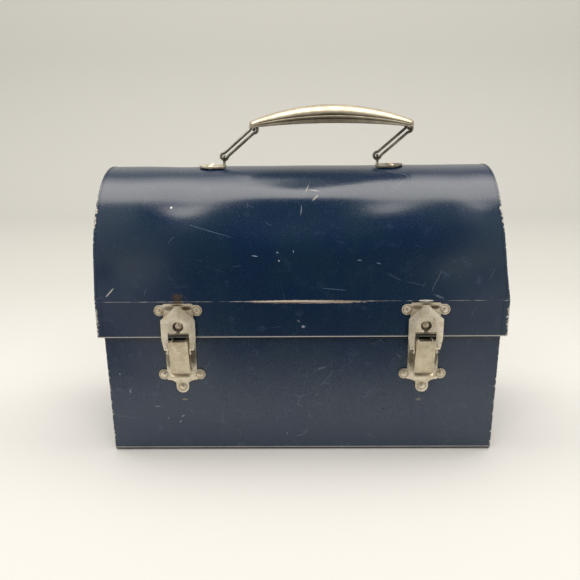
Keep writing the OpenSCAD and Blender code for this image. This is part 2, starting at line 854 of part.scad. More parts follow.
module grip_shell() color("#cfc6b2") {
    half = grip_len/2;
    difference() {
        grip_loft(half, 0, 0);
        grip_loft(half - grip_t, grip_t, -over);
        for (s = SIDES) translate([grip_x + s*ear_x, 0, grip_z])
            bar_y(eye_r + wire_r + gap, -wire_r - gap, wire_r + gap);
    }
    for (s = SIDES, y = SIDES)
        translate([grip_x + s*ear_x, y*(lug_in + lug_t/2), 0]) difference() {
            translate([0, -lug_t/2, 0]) {
                translate([0, 0, grip_z]) bar_y(lug_r, 0, lug_t);
                translate([-lug_r, 0, grip_z])
                    cube([2*lug_r, lug_t, grip_top_rise - grip_t*0.8]);
            }
            translate([0, -lug_t, grip_z])
                bar_y(grip_pin_r + pin_clear, 0, 2*lug_t);
        }
}

// The tray closes the underside of the grip between the two links
module grip_tray() color("#9b9588") {
    half = ear_x - tray_short;
    steps = 14;
    rings = [for (i = [0:steps]) let (u = (-1 + 2*i/steps)*half/(grip_len/2))
        let (x = grip_x + u*grip_len/2, z = grip_low(u), top = z + tray_t,
             share = (tray_t + over)/(grip_height(u) - grip_t + over),
             y = (grip_half_d(u) - grip_t)*sqrt(1 - share*share) - tray_clear)
        [[x, -y, z], [x, y, z], [x, y, top], [x, -y, top]]];
    points = [for (r = rings) for (p = r) p];
    sides = [for (i = [0:steps - 1], j = [0:3])
        let (a = i*4 + j, b = i*4 + (j + 1)%4)
        each [[a, a + 4, b + 4], [a, b + 4, b]]];
    caps = [[0, 1, 2, 3], [for (j = [3:-1:0]) steps*4 + j]];
    polyhedron(points = points, faces = concat(sides, caps));
}

module grip_pin(s) translate([grip_x + s*ear_x, 0, grip_z]) {
    reach = lug_in + lug_t;
    bar_y(grip_pin_r, -reach - pin_out, reach + pin_out);
}
module grip_pin_left() color("#8f8674") grip_pin(-1);
module grip_pin_right() color("#8f8674") grip_pin(1);

// ---------------------------------------------------------------- retainer

// A wire frame that swings down from the lid's rear wall and holds a
// bottle up in the dome
module retainer_bail() color("#a9a79f") translate([0, 0, bail_z]) {
    half = bail_w/2;
    for (s = SIDES) {
        translate([s*half, 0, 0])
            bar_y(bail_r, bail_front + bail_bend, bail_y - bail_foot_bend);
        translate([s*(half - bail_bend), bail_front + bail_bend, 0])
            rotate([0, 0, s > 0 ? 270 : 180]) rotate_extrude(angle = 90)
                translate([bail_bend, 0]) circle(bail_r);
        translate([s*(half + bail_foot_bend), bail_y - bail_foot_bend, 0])
            rotate([0, 0, s > 0 ? 90 : 0]) rotate_extrude(angle = 90)
                translate([bail_foot_bend, 0]) circle(bail_r);
        translate([s*(half + (bail_foot_bend + bail_foot)/2), bail_y, 0])
            bar_x(bail_r, (bail_foot_bend - bail_foot)/2, (bail_foot - bail_foot_bend)/2);
    }
    translate([0, bail_front, 0]) bar_x(bail_r, -half + bail_bend, half - bail_bend);
}

// Brackets on the rear wall that carry the ends of the bail
module retainer_brackets() color("#8f8c84") for (s = SIDES) {
    half = bracket_w/2;
    translate([s*(bail_w/2 + bracket_at), 0, bail_z]) difference() {
        union() {
            translate([-half, wall_in - bracket_t, -bracket_h/2])
                cube([bracket_w, bracket_t, bracket_h]);
            translate([-half, bail_y, -bracket_r])
                cube([bracket_w, wall_in - bail_y, 2*bracket_r]);
            translate([0, bail_y, 0]) bar_x(bracket_r, -half, half);
        }
        translate([0, bail_y, 0]) bar_x(bail_r + pin_clear, -bracket_w, bracket_w);
    }
}

// A spring tongue, folded back from a foot on the front wall, that the
// bail snaps past
module retainer_catch() color("#8f8c84") {
    tongue = bail_front - bail_r - gap - catch_t;
    translate([-catch_w/2, 0, bail_z]) {
        translate([0, -wall_in, -catch_foot]) cube([catch_w, catch_t, catch_up + catch_foot]);
        translate([0, -wall_in, catch_up - catch_t])
            cube([catch_w, tongue + catch_t + wall_in, catch_t]);
        translate([0, tongue, -catch_tongue])
            cube([catch_w, catch_t, catch_up + catch_tongue]);
    }
}

// ---------------------------------------------------------------- nodes

body_wrap();
body_end_left();
body_end_right();
lid_wrap();
lid_end_left();
lid_end_right();
hinge_leaf_body_left();
hinge_leaf_body_right();
hinge_leaf_lid_left();
hinge_leaf_lid_right();
hinge_pin_left();
hinge_pin_right();
hinge_rivets_body();
hinge_rivets_lid();
keeper_plate_left();
keeper_plate_right();
keeper_studs();
keeper_rivets();
latch_base_left();
latch_base_right();
latch_base_rivets();
lever_left();
lever_right();
lever_pin_left();
lever_pin_right();
hasp_left();
hasp_right();
hasp_pin_left();
hasp_pin_right();
handle_ear_left();
handle_ear_right();
ear_rivets();
handle_link_left();
handle_link_right();
grip_shell();
grip_tray();
grip_pin_left();
grip_pin_right();
retainer_bail();
retainer_brackets();
retainer_catch();
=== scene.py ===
# Dome-top lunch box of navy enamelled sheet steel, with two nickelled draw
# latches, a swinging sheet-steel handle and a wire bottle retainer.
import math

import bmesh
import bpy
from mathutils import Matrix, Vector


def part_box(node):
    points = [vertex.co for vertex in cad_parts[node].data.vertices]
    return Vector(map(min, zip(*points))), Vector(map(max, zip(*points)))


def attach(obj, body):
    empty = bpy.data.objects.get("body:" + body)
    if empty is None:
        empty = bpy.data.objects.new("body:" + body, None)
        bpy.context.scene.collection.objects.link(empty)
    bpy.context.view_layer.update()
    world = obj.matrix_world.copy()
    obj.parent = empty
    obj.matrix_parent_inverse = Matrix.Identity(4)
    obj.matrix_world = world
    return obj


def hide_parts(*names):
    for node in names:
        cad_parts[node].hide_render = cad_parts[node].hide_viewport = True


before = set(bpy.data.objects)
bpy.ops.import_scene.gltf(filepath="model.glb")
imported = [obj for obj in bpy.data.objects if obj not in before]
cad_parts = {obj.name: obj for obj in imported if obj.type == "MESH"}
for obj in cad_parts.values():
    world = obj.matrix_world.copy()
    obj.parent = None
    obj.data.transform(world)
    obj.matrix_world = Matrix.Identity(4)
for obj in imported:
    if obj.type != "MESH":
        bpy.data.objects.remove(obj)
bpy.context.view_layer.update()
scene = bpy.context.scene

# ---------------------------------------------------------------- camera
# A camera on a stand half a metre in front of the box and a little above
# it, tipped down towards the latches.
camera_data = bpy.data.cameras.new("camera")
camera_data.sensor_width = 36
camera_data.lens = 44.14
camera_data.clip_start = 0.01
camera = bpy.data.objects.new("camera", camera_data)
scene.collection.objects.link(camera)
scene.camera = camera
camera_at = (-0.00175, -0.48529, 0.23804)
pan, tip_down, roll = 0.01289, 0.28575, -0.00907
camera.matrix_world = (
    Matrix.Translation(camera_at)
    @ Matrix.Rotation(pan, 4, "Z")
    @ Matrix.Rotation(math.pi/2 - tip_down, 4, "X")
    @ Matrix.Rotation(roll, 4, "Z")
)
scene.view_settings.view_transform = "Standard"
scene.view_settings.look = "None"

# ------------------------------------------------------- floor and sweep
# A seamless sheet of pale matt paper that runs under the box and curves
# up behind it, with painted shade that makes it a little darker towards the back.


def shade(hex_colour):
    """An sRGB hex colour as linear red, green, blue and 1."""
    parts = [int(hex_colour[i:i + 2], 16)/255 for i in (1, 3, 5)]
    return [c/12.92 if c <= 0.04045 else ((c + 0.055)/1.055)**2.4 for c in parts] + [1]


def add(tree, kind, settings, inputs):
    """Adds a shader node with its settings, and sets or links its inputs."""
    made = tree.nodes.new("ShaderNode" + kind)
    for name, value in settings.items():
        setattr(made, name, value)
    for name, value in inputs.items():
        if isinstance(value, bpy.types.Node):
            value = value.outputs[0]
        if isinstance(value, bpy.types.NodeSocket):
            tree.links.new(value, made.inputs[name])
        else:
            made.inputs[name].default_value = value
    return made


def finish_named(name):
    """A new material, and its empty node tree."""
    made = bpy.data.materials.new(name)
    made.use_nodes = True
    made.node_tree.nodes.clear()
    return made, made.node_tree


def close_material(tree, surface):
    """Joins the finished surface to the material's output."""
    add(tree, "OutputMaterial", {}, {"Surface": surface})


def mesh_object(name, points, faces):
    """A new smooth-shaded mesh object in the row frame."""
    mesh = bpy.data.meshes.new(name)
    mesh.from_pydata([tuple(p) for p in points], [], faces)
    mesh.validate()
    made = bpy.data.objects.new(name, mesh)
    scene.collection.objects.link(made)
    mesh.shade_smooth()
    return made


paper, tree = finish_named("matt_paper")
place = add(tree, "SeparateXYZ", {}, {"Vector": add(tree, "TexCoord", {}, {}).outputs["Object"]})
back = add(tree, "MapRange", {}, {
    "Value": place.outputs["Y"], "From Min": 0.05, "From Max": 0.35})
high = add(tree, "MapRange", {}, {
    "Value": place.outputs["Z"], "From Min": 0.4, "From Max": 0.7})
# Painted shade: darker towards the back of the floor, fading out again up the wall.
painted_falloff_shade = add(tree, "MixRGB", {}, {
    "Fac": add(tree, "Math", {"operation": "SUBTRACT", "use_clamp": True}, {0: back, 1: high}),
    "Color1": shade("#cccccb"), "Color2": shade("#c1c1be")})
close_material(tree, add(tree, "BsdfPrincipled", {}, {
    "Base Color": painted_falloff_shade, "Roughness": 0.9, "Specular IOR Level": 0.1}))

sweep_half = 2.0
paper_z = -0.0002
curve_from, curve_r, curve_steps = 0.8, 0.3, 12
sweep_rings = [(y, paper_z) for y in (-0.62, -0.3, 0.2, curve_from)]
for i in range(1, curve_steps + 1):
    turn = math.pi/2*i/curve_steps
    sweep_rings.append((curve_from + curve_r*math.sin(turn),
                        curve_r - curve_r*math.cos(turn) + paper_z))
sweep_rings.append((curve_from + curve_r, 1.9))
sweep_points = [(x, y, z) for y, z in sweep_rings for x in (-sweep_half, sweep_half)]
sweep_faces = [(2*i, 2*i + 1, 2*i + 3, 2*i + 2) for i in range(len(sweep_rings) - 1)]
sweep = mesh_object("sweep", sweep_points, sweep_faces)
sweep.data.materials.append(paper)

# ---------------------------------------------------------------- lights
# Three softboxes in a row overhead, one in front that polished surfaces
# don't mirror, and a pale room. Dark flags that only polished surfaces
# see keep the enamel's reflections dark blue.


def softbox(name, centre, size_x, size_y, watts, aim):
    """A warm white rectangle of light that faces the point aim."""
    light = bpy.data.lights.new(name, "AREA")
    light.shape = "RECTANGLE"
    light.size, light.size_y = size_x, size_y
    light.energy = watts
    light.color = shade("#fff9f0")[:3]
    made = bpy.data.objects.new(name, light)
    scene.collection.objects.link(made)
    made.location = centre
    made.rotation_euler = (Vector(aim) - Vector(centre)).to_track_quat("-Z", "Y").to_euler()
    return made


softbox("softbox_top", (0, 0.07, 1.2), 2.4, 0.66, 16, (0, 0.07, 0))
softbox("softbox_rear", (0, 0.48, 1.2), 2.4, 0.16, 2.4, (0, 0.48, 0))
softbox("softbox_last", (0, 0.66, 1.2), 2.4, 0.2, 1.4, (0, 0.66, 0))
softbox("softbox_front", (0, -0.95, 1.3), 1.4, 0.5, 13, (0, -0.1, 0)).visible_glossy = False
world = bpy.data.worlds.new("studio")
scene.world = world
world.use_nodes = True
world.node_tree.nodes.clear()
add(world.node_tree, "OutputWorld", {}, {"Surface": add(
    world.node_tree, "Background", {}, {"Color": shade("#d8d6d0"), "Strength": 0.75})})


def flag(name, points, faces, cover):
    """Dark cloth on a frame, feathered towards the box. Only polished
    surfaces see it. cover is how much of the light it holds back."""
    cloth, tree = finish_named(name + "_cloth")
    far = add(tree, "SeparateXYZ", {}, {
        "Vector": add(tree, "TexCoord", {}, {}).outputs["Object"]}).outputs["Y"]
    solid = add(tree, "MapRange", {"interpolation_type": "SMOOTHSTEP"}, {
        "Value": far, "From Min": -0.1, "From Max": -0.29, "To Max": cover})
    dark = add(tree, "BsdfDiffuse", {}, {"Color": shade("#101010")})
    close_material(tree, add(tree, "MixShader", {}, {
        0: solid, 1: add(tree, "BsdfTransparent", {}, {}), 2: dark}))
    made = mesh_object(name, points, faces)
    made.data.materials.append(cloth)
    made.visible_camera = made.visible_diffuse = made.visible_shadow = False


flag("black_flag", [
    (-0.05, -0.1, 0.002), (0.09, -0.1, 0.002), (0.2, -0.6, 0.002), (-0.2, -0.6, 0.002),
    (-0.27, -0.6, 1.19), (0.34, -0.6, 1.19)], [(0, 1, 2, 3), (3, 2, 5, 4)], 1)
flag("black_flag_roof", [
    (-0.27, -0.6, 1.19), (0.34, -0.6, 1.19), (0.34, -0.32, 1.19), (-0.27, -0.32, 1.19)],
    [(0, 1, 2, 3)], 1)
flag("grey_net", [
    (-0.4, -0.1, 0.001), (0.45, -0.1, 0.001), (0.6, -0.6, 0.001), (-0.6, -0.6, 0.001)],
    [(0, 1, 2, 3)], 0.45)
flag("grey_net_left", [
    (-0.11, -0.15, 0.0015), (-0.155, -0.15, 0.0015), (-0.26, -0.32, 0.0015),
    (-0.2, -0.32, 0.0015)], [(0, 1, 2, 3)], 0.85)

# ------------------------------------------------------------- body skin
# One length of 0.5 mm sheet steel bent into the front wall, base and rear
# wall, its mouth rolled over a wire, sprayed with navy enamel and baked.
mm = 0.001
wrap_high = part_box("body_wrap")[1]
body_half_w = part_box("body_end_right")[1].x
body_half_d = wrap_high.y
mouth_z = wrap_high.z
seam_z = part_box("lid_wrap")[0].z
body_taper = 1.2*mm
bend_r = 3*mm
roll_r = 1.1*mm
sheet = 0.5*mm


def enamel(name, lines, marks):
    """Navy stoving enamel: a semi-gloss film with a fine orange peel. Worn
    lines at set heights and an edge_mm distance let the steel show. Pattern
    sizes are in mm."""
    made, tree = finish_named(name)
    place = add(tree, "TexCoord", {}, {}).outputs["Object"]
    ramp = {"interpolation_type": "SMOOTHSTEP"}
    times, plus = {"operation": "MULTIPLY"}, {"operation": "ADD"}
    clouds = {}
    for label, size_mm, detail in (
            ("broad", 38, 2.0), ("fine", 2.2, 4.0), ("speckle", 0.9, 2.0), ("faded", 9, 5.0),
            ("drift", 30, 2.0), ("runs", 17, 1.0), ("ragged", 7, 3.0)):
        clouds[label] = add(tree, "TexNoise", {}, {
            "Vector": place, "Scale": 1000/size_mm, "Detail": detail, "Roughness": 0.6})
    height = add(tree, "SeparateXYZ", {}, {"Vector": place}).outputs["Z"]

    # Two near navies, and faded patches
    broad = add(tree, "MapRange", ramp, {
        "Value": clouds["broad"], "From Min": 0.35, "From Max": 0.65})
    colour = add(tree, "MixRGB", {}, {
        "Fac": broad, "Color1": shade("#0a213c"), "Color2": shade("#0e263b")})
    faded = add(tree, "MapRange", ramp, {
        "Value": clouds["faded"], "From Min": 0.56, "From Max": 0.8})

    # Specks of chipped film, in cells 9 mm across
    cells = add(tree, "TexVoronoi", {}, {"Vector": place, "Scale": 1000/9})
    specks = add(tree, "Math", times, {
        0: add(tree, "MapRange", ramp, {"Value": cells, "From Min": 0.03, "From Max": 0.015}),
        1: add(tree, "MapRange", ramp, {
            "Value": clouds["fine"], "From Min": 0.5, "From Max": 0.56})})

    # Hairline scratches in short runs, along the edges of cells 26 mm across
    warped = add(tree, "MixRGB", {"blend_type": "ADD"}, {
        "Fac": 0.008, "Color1": place, "Color2": clouds["drift"].outputs["Color"]})
    hair = add(tree, "TexVoronoi", {"feature": "DISTANCE_TO_EDGE"}, {
        "Vector": warped, "Scale": 1000/26})
    hair = add(tree, "Math", times, {
        0: add(tree, "MapRange", ramp, {"Value": hair, "From Min": 0.007, "From Max": 0.002}),
        1: add(tree, "MapRange", ramp, {
            "Value": clouds["runs"], "From Min": 0.6, "From Max": 0.66})})

    # Bare steel at edges and along the worn lines
    edge = add(tree, "Attribute", {"attribute_name": "edge_mm"}, {}).outputs["Fac"]
    ragged = add(tree, "Math", {"operation": "MULTIPLY_ADD"}, {
        0: edge, 1: 0.35, 2: add(tree, "Math", times, {0: clouds["fine"], 1: 2.6})})
    bare = add(tree, "MapRange", ramp, {"Value": ragged, "From Min": 1.35, "From Max": 1.1})
    for z, half, amount in lines:
        near = add(tree, "Math", {"operation": "SUBTRACT"}, {0: height, 1: z})
        near = add(tree, "Math", {"operation": "ABSOLUTE"}, {0: near})
        stray = add(tree, "Math", times, {0: clouds["ragged"], 1: (1 - amount)*3*half})
        near = add(tree, "Math", plus, {0: near, 1: stray})
        line = add(tree, "MapRange", ramp, {
            "Value": near, "From Min": half*1.4, "From Max": half*0.8})
        bare = add(tree, "Math", {"operation": "MAXIMUM"}, {0: bare, 1: line})

    layers = [(faded, 1, "#22344d"), (specks, 0.7, "#9a9ba0"), (hair, 0.22, "#8d949e"),
              (bare, 0.85, "#b9b4aa")]
    for x, y, z, half_x, half_z, turn, tint, amount, soft in marks:
        reach = add(tree, "Mapping", {"vector_type": "TEXTURE"}, {
            "Vector": place, "Location": (x*mm, y*mm, z*mm), "Rotation": (0, turn, 0),
            "Scale": (half_x*mm, 30*mm, half_z*mm)})
        reach = add(tree, "VectorMath", {"operation": "LENGTH"}, {0: reach}).outputs["Value"]
        reach = add(tree, "Math", plus, {
            0: reach, 1: add(tree, "Math", times, {0: clouds["fine"], 1: 0.9})})
        reach = add(tree, "MapRange", ramp, {
            "Value": reach, "From Min": 1.45, "From Max": 1.45 - soft})
        layers.append((reach, amount, tint))
    for cover, amount, tint in layers:
        colour = add(tree, "MixRGB", {}, {
            "Fac": add(tree, "Math", times, {0: cover, 1: amount}),
            "Color1": colour, "Color2": shade(tint)})

    dull = add(tree, "MapRange", ramp, {
        "Value": clouds["speckle"], "From Min": 0.4, "From Max": 0.75})
    dull = add(tree, "Math", {"operation": "MULTIPLY_ADD"}, {0: dull, 1: 0.1, 2: 0.2})
    rough = add(tree, "Math", plus, {0: dull, 1: add(tree, "Math", times, {0: bare, 1: 0.3})})
    peel = add(tree, "Bump", {}, {
        "Strength": 0.24, "Distance": 0.03*mm,
        "Height": add(tree, "Math", plus, {0: clouds["speckle"], 1: clouds["fine"]})})
    close_material(tree, add(tree, "BsdfPrincipled", {}, {
        "Base Color": colour, "Roughness": rough, "IOR": 1.68, "Normal": peel}))
    return made


def smoothly(t):
    """Rises from 0 to 1 as t does, level at both ends."""
    t = min(1.0, max(0.0, t))
    return t*t*(3 - 2*t)


def spread(low, high, step):
    """Values from low to high about step apart, both ends included."""
    count = max(1, round(abs(high - low)/step))
    return [low + (high - low)*i/count for i in range(count + 1)]


def arc(centre, radius, start, end, count):
    """Points (y, z) on a circle, angles in degrees from +Y."""
    turns = [math.radians(start + (end - start)*i/count) for i in range(count + 1)]
    return [(centre[0] + radius*math.cos(t), centre[1] + radius*math.sin(t)) for t in turns]


def loft(name, rings, closed_across, closed_along=False):
    """A mesh through rings of points of equal length."""
    count = len(rings[0])
    points = [p for ring in rings for p in ring]
    faces = []
    last = len(rings) if closed_along else len(rings) - 1
    for i in range(last):
        for j in range(count if closed_across else count - 1):
            a, b = i*count + j, i*count + (j + 1) % count
            up = ((i + 1) % len(rings) - i)*count
            faces.append((a, b, b + up, a + up))
    return mesh_object(name, points, faces)


def cap_ends(made, count):
    """Closes the first and last ring of a lofted tube or bar."""
    total = len(made.data.vertices)
    shape = bmesh.new()
    shape.from_mesh(made.data)
    shape.verts.ensure_lookup_table()
    shape.faces.new([shape.verts[i] for i in range(count)][::-1])
    shape.faces.new([shape.verts[total - count + i] for i in range(count)])
    bmesh.ops.recalc_face_normals(shape, faces=shape.faces)
    shape.to_mesh(made.data)
    shape.free()


def place_piece(made, body, nodes, material, corner=40):
    """Gives a finished piece its material and body, and hides its CAD nodes."""
    if made.type == "MESH":
        made.data.set_sharp_from_angle(angle=math.radians(corner))
    made.data.materials.clear()
    made.data.materials.append(material)
    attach(made, body)
    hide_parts(*nodes)
    return made


def set_edge(made, distance):
    """Stores each point's distance in mm to the nearest worn edge."""
    values = made.data.attributes.new("edge_mm", "FLOAT", "POINT")
    values.data.foreach_set("value", [distance(v.co)/mm for v in made.data.vertices])


body_enamel = enamel("navy_enamel_body", [(2.1*mm, 0.45*mm, 0.7)], [
    (-95.5, -56, 32, 2.4, 0.4, 0.1, "#77818e", 0.7, 0.5),
    (-89, -56, 23.5, 0.5, 0.6, 0, "#8f96a0", 0.7, 0.5),
    (-79, -56, 25, 1.3, 0.35, -0.35, "#8f96a0", 0.8, 0.5),
    (-81, -56, 21, 0.8, 0.6, 0.9, "#8f96a0", 0.8, 0.5),
    (-113, -56, 43, 0.4, 1.8, -0.1, "#8f96a0", 0.7, 0.5),
    (-119, -56, 55, 0.4, 0.8, 0, "#8f96a0", 0.8, 0.5),
    (-77.5, -56, 37, 3.2, 0.9, 0, "#77705c", 0.85, 0.9),
    (76.5, -56, 36.6, 2.6, 1.3, 0, "#6e665a", 0.75, 0.9),
    (10, -56, 40, 0.4, 0.9, 0, "#7d8591", 0.6, 0.5),
    (42, -56, 62, 1.8, 0.4, 0, "#4f5b69", 0.7, 0.6),
    (-10, -56, 12, 0.4, 1.2, 0.2, "#7d8591", 0.5, 0.5),
])


def body_end_x(z):
    """How far the body's end plane stands out at height z."""
    return body_half_w - body_taper*(1 - z/seam_z) - body_taper*(mouth_z/seam_z - 1)


half, low_wall = body_half_d, bend_r
front_up = [(-half, z) for z in spread(low_wall, mouth_z - roll_r, 2.5*mm)]
outer = [(-half + 2*roll_r - sheet, mouth_z - 2*roll_r)]
outer += arc((-half + roll_r, mouth_z - roll_r), roll_r, -20, 180, 10)
outer += front_up[::-1][1:]
outer += arc((-half + bend_r, bend_r), bend_r, 180, 270, 8)[1:]
base_row = spread(-half + bend_r, half - bend_r, 6*mm)
outer += [(y, 0.0) for y in base_row[1:]]
outer += [(-y, z) for y, z in outer[::-1][len(base_row) - 1:]]
inner = [(-half + sheet, z) for z in spread(mouth_z - 2*roll_r, low_wall, 6*mm)]
inner += arc((-half + bend_r, bend_r), bend_r - sheet, 180, 270, 6)[1:]
inner += [(-y, z) for y, z in inner[::-1]]
section = outer + inner[::-1]
wrap_half, fine_from = 0.1262, 0.112
stations = sorted({round(s*x, 6) for s in (-1, 1) for x in
                   spread(0, fine_from, 3*mm) + spread(fine_from, wrap_half, 1.2*mm)})


def body_point(x, y, z):
    """A point of the wrap: walls bow in a little between their ends."""
    share = x/wrap_half
    place_x = share*(body_end_x(max(z, 0)) - 0.3*mm)
    bow = (1 - share*share)*math.sin(math.pi*min(1, max(0, z/mouth_z)))
    bow += 0.35*math.exp(-((x + 0.1)/0.012)**2 - ((z - 0.05)/0.03)**2)
    pull = 0.45*mm*bow if abs(y) > body_half_d - 1.2*mm else 0
    return (place_x, y - math.copysign(pull, y), z)


body_skin = loft("body_skin", [[body_point(x, y, z) for y, z in section] for x in stations],
                 closed_across=True)
cap_ends(body_skin, len(section))
set_edge(body_skin, lambda p: min(body_end_x(p.z) - abs(p.x), 9*mm) - 0.2*mm)
place_piece(body_skin, "body", ["body_wrap"], body_enamel)

# ------------------------------------------------------------- body ends
# Two pressed end panels of the same sheet. Each is set in 2 mm and its
# edge is crimped round the wrap, where the enamel chips first.


def end_cap(name, outline, end_x, side, flange, recess, raised, inset, wear):
    """A crimped end panel. outline holds (y, z, normal, flange share); wear
    gives edge_mm on the fold from the distance in mm to its outer corner."""
    fold = [(1, -0.1), (0.97, raised), (0.25, raised), (0.07, raised*0.5),
            (0, -0.35*inset), (0, -0.8*inset), (0.06, -inset)]
    rings = []
    for along, rise in fold:
        rings.append([(along*flange*share, y + n[0]*rise*mm, z + n[1]*rise*mm)
                      for y, z, n, share in outline])
    floor_ring = [(recess, y - n[0]*inset*1.1*mm, z - n[1]*inset*1.1*mm)
                  for y, z, n, share in outline]
    centre = (sum(p[1] for p in floor_ring)/len(floor_ring),
              sum(p[2] for p in floor_ring)/len(floor_ring))
    rings.append([(recess - 0.2*mm, p[1], p[2]) for p in floor_ring])
    for k in (0.985, 0.93, 0.82, 0.68, 0.52, 0.35, 0.18, 0.04):
        rings.append([(recess + 0.5*mm*(1 - k), centre[0] + (p[1] - centre[0])*k,
                       centre[1] + (p[2] - centre[1])*k) for p in floor_ring])
    placed = [[(side*(end_x(z) - u), y, z) for u, y, z in ring] for ring in rings]
    made = loft(name, placed, closed_across=True)
    shape = bmesh.new()
    shape.from_mesh(made.data)
    shape.verts.ensure_lookup_table()
    count = len(outline)
    shape.faces.new([shape.verts[len(shape.verts) - count + i] for i in range(count)])
    bmesh.ops.recalc_face_normals(shape, faces=shape.faces)
    shape.to_mesh(made.data)
    shape.free()
    values = made.data.attributes.new("edge_mm", "FLOAT", "POINT").data
    on_fold = (len(fold) - 1)*count
    for v in made.data.vertices:
        away = (end_x(v.co.z) - abs(v.co.x))/mm
        values[v.index].value = wear(away, v.co.z) if v.index < on_fold else 9
    return made


def thicken(made, depth, outward):
    """Gives an open pressing its sheet thickness, on its inner side."""
    lean = sum(f.normal.dot(Vector(outward))*f.area for f in made.data.polygons)
    if lean < 0:
        made.data.flip_normals()
    coat = made.modifiers.new("sheet", "SOLIDIFY")
    coat.thickness = depth
    coat.offset = -1
    coat.use_even_offset = False
    holder = bpy.context.evaluated_depsgraph_get()
    mesh = bpy.data.meshes.new_from_object(made.evaluated_get(holder))
    made.modifiers.clear()
    made.data = mesh
    made.data.shade_smooth()


def closed_outline(points, share_at):
    """Adds outward normals to a loop of (y, z) points."""
    count = len(points)
    out = []
    for i, (y, z) in enumerate(points):
        before, after = points[i - 1], points[(i + 1) % count]
        run = Vector((after[0] - before[0], after[1] - before[1])).normalized()
        out.append((y, z, (run.y, -run.x), share_at(y, z)))
    return out


corner = 1.2*mm
body_loop = [(half, z) for z in spread(bend_r, mouth_z - corner - roll_r, 5*mm)]
body_loop += arc((half - corner, mouth_z - corner - roll_r), corner, 0, 90, 5)[1:]
body_loop += [(y, mouth_z - roll_r) for y in spread(half - corner, -half + corner, 8*mm)][1:]
body_loop += arc((-half + corner, mouth_z - corner - roll_r), corner, 90, 180, 5)[1:]
body_loop += [(-half, z) for z in spread(mouth_z - corner - roll_r, bend_r, 5*mm)][1:]
body_loop += arc((-half + bend_r, bend_r), bend_r, 180, 270, 8)[1:]
body_loop += [(y, 0) for y in spread(-half + bend_r, half - bend_r, 8*mm)][1:]
body_loop += arc((half - bend_r, bend_r), bend_r, 270, 360, 8)[1:-1]
for side, word in ((-1, "left"), (1, "right")):
    panel = end_cap(f"body_end_panel_{word}", closed_outline(body_loop, lambda y, z: 1),
                    body_end_x, side, 1.6*mm, 2*mm, 0.0, 1.0, lambda away, z: away - 0.1)
    thicken(panel, 0.45*mm, (side, 0, 0))
    place_piece(panel, "body", [f"body_end_{word}"], body_enamel)

roll_x = body_end_x(mouth_z) - 2.8*mm
roll_y = body_half_d - roll_r
path = []
for sx, sy, start in ((1, 1, 0), (-1, 1, 90), (-1, -1, 180), (1, -1, 270)):
    for y, z in arc((sx*(roll_x - 4*mm), sy*(roll_y - 4*mm)), 4*mm, start, start + 90, 6):
        path.append((y, z))
rings = []
for i, (x, y) in enumerate(path):
    before, after = Vector(path[i - 1]), Vector(path[(i + 1) % len(path)])
    out = Vector(((after - before).y, -(after - before).x)).normalized()
    rings.append([(x + out.x*roll_r*math.cos(t), y + out.y*roll_r*math.cos(t),
                   mouth_z - roll_r + roll_r*math.sin(t))
                  for t in [2*math.pi*k/10 for k in range(10)]])
mouth_roll = loft("mouth_roll", rings, closed_across=True, closed_along=True)
set_edge(mouth_roll, lambda p: 4*mm)
place_piece(mouth_roll, "body", [], body_enamel)

# -------------------------------------------------------------- lid skin
# The dome: one sheet with a hemmed lower edge, bent at the crease and
# rolled over the top. Years of knocks have left shallow dents in it.
lid_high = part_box("lid_wrap")[1]
lid_half_d, crest_z = lid_high.y, lid_high.z
lid_half_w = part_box("lid_end_right")[1].x
crease_z = seam_z + 24*mm
flank = math.radians(6.1)
dome_h = crest_z - crease_z
dome_r = (lid_half_d*math.cos(flank) - dome_h*math.sin(flank))/(1 - math.sin(flank))
dome_z = crest_z - dome_r
foot_z = dome_z + dome_r*math.sin(flank)
lean_left, lean_right = 1.9, 5.3
hem_r = 0.6*mm
hem_h = 6*mm
DENTS = [  # x, distance down from the crest, spread in x, above and below, depth
    (-2, 57, 28, 11, 11, 3.5), (-4, 27, 23, 8, 8, 2.1), (-77, 46, 13, 30, 9, 2.3),
    (-57, 44, 20, 20, 10, 0.8), (52, 45, 19, 20, 9, 2.2), (118, 46, 9, 16, 8, 1.4),
    (104, 92, 20, 6, 6, 0.8), (-116, 91, 11, 7, 7, 0.9), (-95, 70, 20, 14, 14, 0.5),
    (20, 84, 40, 12, 12, 0.3), (48, -50, 30, 14, 14, 1.2), (-60, -70, 26, 16, 16, 1.0),
    (84, 70, 24, 16, 16, 0.4), (31, 22, 10, 6, 6, 0.4),
]


def down_front(y, z):
    """Distance over the skin from the crest, in mm; the rear is negative."""
    turn = math.atan2(-y, z - dome_z)
    limit = math.pi/2 - flank
    if abs(turn) <= limit:
        return turn*dome_r/mm
    return math.copysign(limit*dome_r + (foot_z - z)/math.cos(flank), turn)/mm


def knocked(x, y, z):
    """A point of the lid after its dents, and with its ends leaning in."""
    along = down_front(y, z)
    depth = 0
    for x0, s0, wide_x, above, below, deep in DENTS:
        wide_s = above if along < s0 else below
        depth += deep*math.exp(-((x/mm - x0)/wide_x)**2/2 - ((along - s0)/wide_s)**2/2)
    depth += 0.12*(1 + math.sin(x/mm*0.11 + 1) * math.sin(along*0.09))*smoothly(
        (z - crease_z)/(10*mm))
    depth *= smoothly((z - crease_z + 2*mm)/(9*mm))
    inward = Vector((-math.copysign(1, y), 0))
    if z > dome_z:
        inward = Vector((-y, dome_z - z)).normalized()
    rise = max(0, (z - crease_z)/dome_h)
    lean = lean_left*rise if x < 0 else lean_right*math.sin(math.pi/2*min(1, 1.3*rise))
    share = smoothly((abs(x) - 0.06)/(lid_half_w - 0.06))
    return (x - math.copysign(lean*share*mm, x), y + inward.x*depth*mm, z + inward.y*depth*mm)


